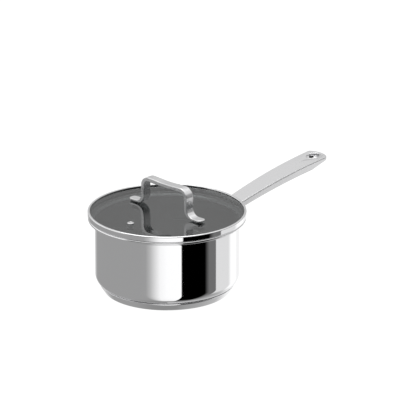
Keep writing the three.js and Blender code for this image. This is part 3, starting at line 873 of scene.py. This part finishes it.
def outline_points():
    """Half of the handle's outline, from its root to the middle of its tip, and where its nose begins."""
    square_x = tip_x - TIP_CROWN - TIP_CORNER * math.cos(math.radians(30))
    corner_y = handle_half_width(square_x) - TIP_CORNER
    side_x = [mix(collar_x, square_x, k / 60) for k in range(61)]
    fine = [Vector((x, handle_half_width(x))) for x in side_x]
    corner = [Vector((square_x, corner_y)) + TIP_CORNER * Vector((math.cos(a), math.sin(a)))
              for a in (math.radians(90 - 2.5 * k) for k in range(1, 25))]
    crown_y = corner[-1].y
    crown = [Vector((tip_x - TIP_CROWN * (k / 40) ** 2, crown_y * k / 40)) for k in range(39, -1, -1)]
    fine += corner + crown
    lengths = [0.0]
    for a, b in zip(fine, fine[1:]):
        lengths.append(lengths[-1] + (a - b).length)
    nose, at = [], 0
    for k in range(NOSE_STEPS + 1):
        wanted = lengths[-1] * k / NOSE_STEPS
        while at < len(fine) - 2 and lengths[at + 1] < wanted:
            at += 1
        share = (wanted - lengths[at]) / (lengths[at + 1] - lengths[at])
        nose.append(fine[at].lerp(fine[at + 1], min(share, 1)))
    nose[-1].y = 0.0
    body_x = [mix(root_x, nose_x - 2, k / 32) for k in range(32)]
    body_x += [mix(nose_x - 2, collar_x, k / 8) for k in range(8)]
    body = [Vector((x, handle_half_width(x))) for x in body_x]
    return body + nose, len(body)


outline, nose_start = outline_points()
print(len(outline), "outline points, nose from point", nose_start)


def inset_outline(inset):
    """The outline drawn in by inset, square to itself."""
    points = []
    for i, p in enumerate(outline):
        if i == 0:
            normal = Vector((0, 1))
        elif i == len(outline) - 1:
            normal = Vector((1, 0))
        else:
            run = (outline[i + 1] - outline[i - 1]).normalized()
            normal = Vector((-run.y, run.x))
        moved = p - normal * inset
        points.append(Vector((moved.x, max(moved.y, 0.0))))
    return points


def middle(outset):
    """The inner end of every column: the handle's middle, then round the opening."""
    return [Vector((p.x, 0.0)) for p in outline[:nose_start]] + opening(outset)


def raise_line(points, face, offset=0.0):
    """A level line lifted to a face, which is a function of x and y, and then by an offset."""
    return [Vector((p.x, p.y, face(p.x, p.y) + offset)) for p in points]


# %% [markdown]
# ## A shallow recess round the opening
# The top plate is pressed down by two tenths of a millimetre in a long drop-shaped recess round the
# opening. It is the distance to a tapered capsule, put through a smooth step, so its rim is a soft ramp
# that only shows where the light slides over it.

# %% Recess
RECESS_DEPTH, RECESS_RAMP = 0.2, 2.2
RECESS_WIDE, RECESS_POINT = 11.2, 1.2
recess_x, recess_run = wide_x + 0.8, 18.0


def recess(x, y):
    """How far the top plate is pressed down at a place."""
    taper = (RECESS_WIDE - RECESS_POINT) / recess_run
    lean = math.sqrt(1 - taper * taper)
    across, along = abs(y), recess_x - x
    reach = -taper * across + lean * along
    if reach < 0:
        distance_out = math.hypot(across, along) - RECESS_WIDE
    elif reach > lean * recess_run:
        distance_out = math.hypot(across, along - recess_run) - RECESS_POINT
    else:
        distance_out = across * lean + along * taper - RECESS_WIDE
    return RECESS_DEPTH * smooth(0, RECESS_RAMP, -distance_out)


# %% [markdown]
# ## The top plate
# A 1.2 mm sheet with a crisp upper edge of 0.25 mm. The lines run along the handle: the middle, ten across
# to the edge, the rounding, the cut side and back underneath, then down through the opening.

# %% Top plate
PLATE_EDGE, CUT_EDGE, BORE_EDGE = 0.25, 0.2, 0.3
FACE_HOLD, CUT_HOLD, UNDER_HOLD = 0.25, 0.2, 0.3  # a line this far from an edge keeps the flat beside it flat
COLUMNS = 10


def plate_face(x, y):
    return handle_top(x) - recess(x, y)


def between(first, second, steps):
    """Lines spaced evenly from one line to another."""
    return [[a.lerp(b, k / steps) for a, b in zip(first, second)] for k in range(steps + 1)]


def flip_y(p):
    return Vector((p.x, -p.y, p.z))


def close_pair(bm, points):
    """Closes a gap in a half piece, and in its mirror image, with one face each."""
    for place in (points, [flip_y(p) for p in points]):
        bm.faces.new([bm.verts.new(p * MM) for p in place])


across = between(middle(COLLAR), inset_outline(PLATE_EDGE + FACE_HOLD), COLUMNS)
top_lines = [raise_line(line, plate_face) for line in across]
top_lines += [raise_line(inset_outline(i), plate_face, -d) for i, d in edge_rounding(PLATE_EDGE)]
top_lines += [raise_line(inset_outline(0), handle_top, drop)
              for drop in (-PLATE_EDGE - CUT_HOLD, CUT_EDGE + CUT_HOLD - TOP_PLATE)]
top_lines += [raise_line(inset_outline(i), handle_top, d - TOP_PLATE)
              for i, d in reversed(edge_rounding(CUT_EDGE, 3))]
top_lines += [raise_line(line, handle_top, -TOP_PLATE)
              for line in (inset_outline(CUT_EDGE + UNDER_HOLD), middle(COLLAR))]

bore_lines = [raise_line(opening(outset), plate_face) for outset in (COLLAR, SLEEVE_SEAT + 2 * BORE_EDGE)]
bore_lines += [raise_line(opening(SLEEVE_SEAT + i), plate_face, -d) for i, d in edge_rounding(BORE_EDGE, 3)]
bore_lines += [raise_line(opening(outset), handle_top, -TOP_PLATE) for outset in (SLEEVE_SEAT, COLLAR)]
bm = bmesh.new()
skin(bm, top_lines, flip_y)
skin(bm, bore_lines, flip_y)
close_pair(bm, [line[0] for line in top_lines])
plate = object_of(bm, "handle_plate_pressed", satin_handle)
finish_piece(plate, "pot", "satin_steel", "handle_top_plate")

# %% [markdown]
# ## The channel under it
# The lower shell is pressed from the same sheet: a soft lower edge of 1.8 mm, straight sides and a crisp
# upper edge that meets the plate in a fine seam. It is hollow as far as the collar round the opening and
# solid there.

# %% Channel
LOWER_EDGE, SEAM_EDGE = 1.8, 0.25
FLOOR_HOLD, WALL_HOLD = 0.4, 0.25
seam_drop = TOP_PLATE + GAP

outer = [raise_line(line, handle_bottom)
         for line in between(middle(COLLAR), inset_outline(LOWER_EDGE + FLOOR_HOLD), 4)]
outer += [raise_line(inset_outline(i), handle_bottom, d) for i, d in edge_rounding(LOWER_EDGE, 7)]
outer.append(raise_line(inset_outline(0), handle_bottom, LOWER_EDGE + WALL_HOLD))
outer.append(raise_line(inset_outline(0), handle_top, -seam_drop - SEAM_EDGE - WALL_HOLD))
outer += [raise_line(inset_outline(i), handle_top, -seam_drop - d)
          for i, d in reversed(edge_rounding(SEAM_EDGE, 3))]
wall_in, collar = inset_outline(CHANNEL_WALL), middle(COLLAR)
wall_top = raise_line(wall_in, handle_top, -seam_drop)
inner_floor = [raise_line(line, handle_bottom, CHANNEL_WALL) for line in (wall_in, collar)]
hollow = [line[: nose_start + 1] for line in (outer[-1], wall_top, *inner_floor)]
nose_top = [line[nose_start:] for line in (outer[-1], wall_top, raise_line(collar, handle_top, -seam_drop))]
through = [raise_line(opening(outset), handle_top, -seam_drop) for outset in (COLLAR, SLEEVE_SEAT)]
through += [raise_line(opening(outset), handle_bottom) for outset in (SLEEVE_SEAT, COLLAR)]
bm = bmesh.new()
for lines in (outer, hollow, nose_top, through):
    skin(bm, lines, flip_y)
close_pair(bm, [line[0] for line in outer[:-1] + hollow])
close_pair(bm, [hollow[1][-1], hollow[2][-1], hollow[3][-1], nose_top[2][0]])
channel = object_of(bm, "handle_channel_pressed", satin_handle)
finish_piece(channel, "pot", "satin_steel", "handle_channel")

# %% [markdown]
# ## The sleeve in the opening
# A short polished tube lines the opening and keeps a hook from scratching the satin sheet. Its mouth is
# rolled. Its section is one closed line, carried round the egg shape.

# %% Sleeve
LIP, SLEEVE_FOOT = 0.35, 0.1
mouth = edge_rounding(LIP, 4)
sleeve = [raise_line(opening(SLEEVE_WALL), handle_bottom, SLEEVE_FOOT)]
sleeve += [raise_line(opening(SLEEVE_WALL - i), plate_face, -d) for i, d in reversed(mouth)]
sleeve += [raise_line(opening(i), plate_face, -d) for i, d in mouth[1:]]
sleeve += [raise_line(opening(0.0), handle_bottom, SLEEVE_FOOT), sleeve[0]]
bm = bmesh.new()
skin(bm, sleeve, flip_y)
liner = object_of(bm, "hanging_sleeve_rolled", polished)
finish_piece(liner, "pot", "polished_steel", "hanging_sleeve")

# %% [markdown]
# ## The bracket
# A curved saddle plate lies against the pot's wall and is spot-welded to it; a tongue on it reaches into
# the hollow handle. The saddle is bent round the same axis as the pot, so it is drawn flat, as closed
# sections from its middle to its side, and each point is then wrapped onto the cylinder.

# %% Bracket
SADDLE_SHEET, SADDLE_HALF, SADDLE_TALL, SADDLE_CORNER, SADDLE_EDGE = 1.6, 17.0, 10.0, 4.0, 0.4
TONGUE_LENGTH = 28.0
saddle_inner = wall_radius + GAP
saddle_bend = saddle_inner + SADDLE_SHEET / 2
saddle_z = (handle_top(root_x) + handle_bottom(root_x)) / 2


def saddle_section(reach, tall, drop):
    """One closed section of the saddle, wrapped round the pot at a distance from its middle."""
    angle = reach / saddle_bend
    points = []
    for face in (1, -1):
        heights = [(-tall + i, d) for i, d in reversed(edge_rounding(SADDLE_EDGE, 3))]
        heights += [(h, 0.0) for h in (0.8 - tall, -tall / 2, 0, tall / 2, tall - 0.8)]
        heights += [(tall - i, d) for i, d in edge_rounding(SADDLE_EDGE, 3)]
        for height, edge in heights if face == 1 else reversed(heights):
            radius = saddle_bend + face * (SADDLE_SHEET / 2 - max(edge, drop))
            points.append(Vector((radius * math.cos(angle), radius * math.sin(angle), saddle_z + height)))
    return points + points[:1]


flat_half = SADDLE_HALF - SADDLE_CORNER
sections = [saddle_section(flat_half * k / 8, SADDLE_TALL, 0.0) for k in range(9)]
for k in range(1, 9):
    angle = math.radians(9 * k)
    sections.append(saddle_section(flat_half + SADDLE_CORNER * math.sin(angle),
                                   SADDLE_TALL - SADDLE_CORNER * (1 - math.cos(angle)), 0.0))
for inset, drop in edge_rounding(SADDLE_EDGE, 3):
    sections.append(saddle_section(SADDLE_HALF - inset * 0.6,
                                   SADDLE_TALL - SADDLE_CORNER - inset + 0.5, drop))
bm = bmesh.new()
skin(bm, sections, flip_y)
close_pair(bm, sections[-1][:-1])

tongue_x = [mix(saddle_bend, root_x + TONGUE_LENGTH, k / 8) for k in range(9)]
tongue_in = CHANNEL_WALL + GAP
tongue = []
for share_y, top_side in ((0, True), (0.94, True), (1, True), (1, False), (0.94, False), (0, False)):
    line = []
    for x in tongue_x:
        y = (handle_half_width(max(x, root_x)) - tongue_in) * share_y
        soft = 0.5 if share_y == 1 else 0.0
        z = handle_top(x) - seam_drop - GAP - soft if top_side else handle_bottom(x) + tongue_in + soft
        line.append(Vector((x, y, z)))
    tongue.append(line)
skin(bm, tongue, flip_y)
close_pair(bm, [line[0] for line in tongue])
close_pair(bm, [line[-1] for line in tongue])
bracket = object_of(bm, "handle_bracket_welded", satin_handle)
finish_piece(bracket, "pot", "satin_steel", "handle_bracket")

# %% [markdown]
# ## Studio
# Mirror steel looks like whatever stands round it, so the studio is drawn in the world shader as rings of
# flats round the pan. Beginning on the camera's left there is a grey flat, a large white one behind the
# camera, a black card and a narrow grey one to its right, and then pale ones, which run on to the far side.
# Lower down the grey, white and black flats go on, the pale ones turn grey, and everything fades into a
# grey table. Over the flats runs a thin dim band, then a low sky that is dark on the camera's side, bright
# on its left and grey elsewhere. Overhead is soft light, brightest a little over halfway up. The angles are
# counted from the camera's own place by fixed numbers, so the flats stay where they are when another view
# is taken. The background itself is plain white.

# %% World
world = bpy.data.worlds.new("studio")
bpy.context.scene.world = world
world.use_nodes = True
tree = world.node_tree
tree.nodes.clear()
direction = add(tree, "ShaderNodeTexCoord").outputs["Generated"]
towards, rightward = [
    add(tree, "ShaderNodeVectorMath", {0: direction, 1: tuple(axis)}, operation="DOT_PRODUCT").outputs["Value"]
    for axis in (level_back, right)]
angle = add(tree, "ShaderNodeMath", {0: rightward, 1: towards}, operation="ARCTAN2").outputs[0]
round_share = add(tree, "ShaderNodeMapRange", {"Value": angle, 1: -math.pi, 2: math.pi}).outputs[0]
height = add(tree, "ShaderNodeSeparateXYZ", {"Vector": direction}).outputs["Z"]
elevation = add(tree, "ShaderNodeMath", {0: height}, operation="ARCSINE").outputs[0]


def grey(tone):
    """A neutral colour of an sRGB tone from 0 to 255."""
    return linear("#" + f"{tone:02x}" * 3)


def around(*stops):
    """A ring of flats round the pan, from (degrees from the camera, tone) pairs."""
    placed = [((degrees + 180) / 360, grey(tone)) for degrees, tone in stops]
    return add(tree, "ShaderNodeValToRGB", {"Fac": round_share}, stops=placed).outputs["Color"]


flats = around((-180, 238), (-150, 152), (-45, 152), (-34, 154), (-27, 180), (-20, 212), (-11, 245), (0, 254),
               (23.3, 255), (23.6, 0), (64, 0), (72, 108), (84.5, 108), (85.2, 219), (116, 219), (124, 255),
               (142, 255), (150, 240))
low_flats = around((-180, 200), (-150, 152), (-34, 152), (-11, 245), (23.3, 255), (23.6, 0), (64, 0),
                   (72, 108), (85, 140), (115, 165), (150, 190))
table = around((-180, 137), (60, 137), (120, 175), (160, 195))
low_sky = around((-180, 190), (-140, 215), (-120, 250), (-65, 250), (-55, 40), (55, 40), (90, 150), (130, 190))
horizon = around((-180, 150), (-60, 150), (0, 100), (40, 60), (130, 60), (170, 150))

# Each ring takes over from the one below it between two heights, in degrees above the level.
scene_tone = table
for tone, start, full in ((low_flats, -80, -60), (flats, -48, -30), (horizon, -9, -8), (low_sky, -4, -3),
                          (grey(216), 22, 28), (grey(255), 44, 52), (grey(208), 64, 80)):
    heights = {"Value": elevation, 1: math.radians(start), 2: math.radians(full)}
    share = add(tree, "ShaderNodeMapRange", heights, interpolation_type="SMOOTHSTEP").outputs[0]
    scene_tone = add(tree, "ShaderNodeMix", {0: share, 6: scene_tone, 7: tone}, data_type="RGBA").outputs[2]
rays = add(tree, "ShaderNodeLightPath").outputs["Is Camera Ray"]
seen = add(tree, "ShaderNodeMix", {0: rays, 6: scene_tone, 7: grey(255)}, data_type="RGBA").outputs[2]
backdrop = add(tree, "ShaderNodeBackground", {"Color": seen, "Strength": 1.09})
add(tree, "ShaderNodeOutputWorld", {"Surface": backdrop.outputs[0]})

# %% [markdown]
# ## Floor and lamp
# The floor is a lit white table: pale, plain and glowing, so the pan throws hardly any shadow. Mirrors
# don't see it, because the flats above already stand for it. One large soft lamp overhead gives the satin
# faces their glow.

# %% Floor and lamp
floor_material, tree = new_material("table_opal_acrylic")
paint = add(tree, "ShaderNodeBsdfDiffuse", {"Color": linear("#f4f4f4")})
glow = add(tree, "ShaderNodeEmission", {"Color": linear("#ffffff"), "Strength": 1.12})
part = add(tree, "ShaderNodeMixShader", {0: 0.9, 1: paint.outputs[0], 2: glow.outputs[0]})
add(tree, "ShaderNodeOutputMaterial", {"Surface": part.outputs[0]})
FLOOR_RADIUS_MM, FLOOR_DROP_MM = 14000, 0.2
bm = bmesh.new()
bm.faces.new([bm.verts.new(p) for p in circle_points(0, 0, -FLOOR_DROP_MM, FLOOR_RADIUS_MM, 64)])
floor = object_of(bm, "floor", floor_material)
for rays_off in ("visible_glossy", "visible_diffuse", "visible_transmission", "visible_shadow"):
    setattr(floor, rays_off, False)

lamp_data = bpy.data.lights.new("soft_lamp", "AREA")
lamp_data.shape, lamp_data.size, lamp_data.energy = "DISK", 1.6, 14
lamp = bpy.data.objects.new("soft_lamp", lamp_data)
bpy.context.scene.collection.objects.link(lamp)
lamp.location = (0.5, 0.7, 2.2)
lamp.rotation_mode = "QUATERNION"
lamp.rotation_quaternion = lamp.location.to_track_quat("Z", "Y")
print("floor and lamp set")
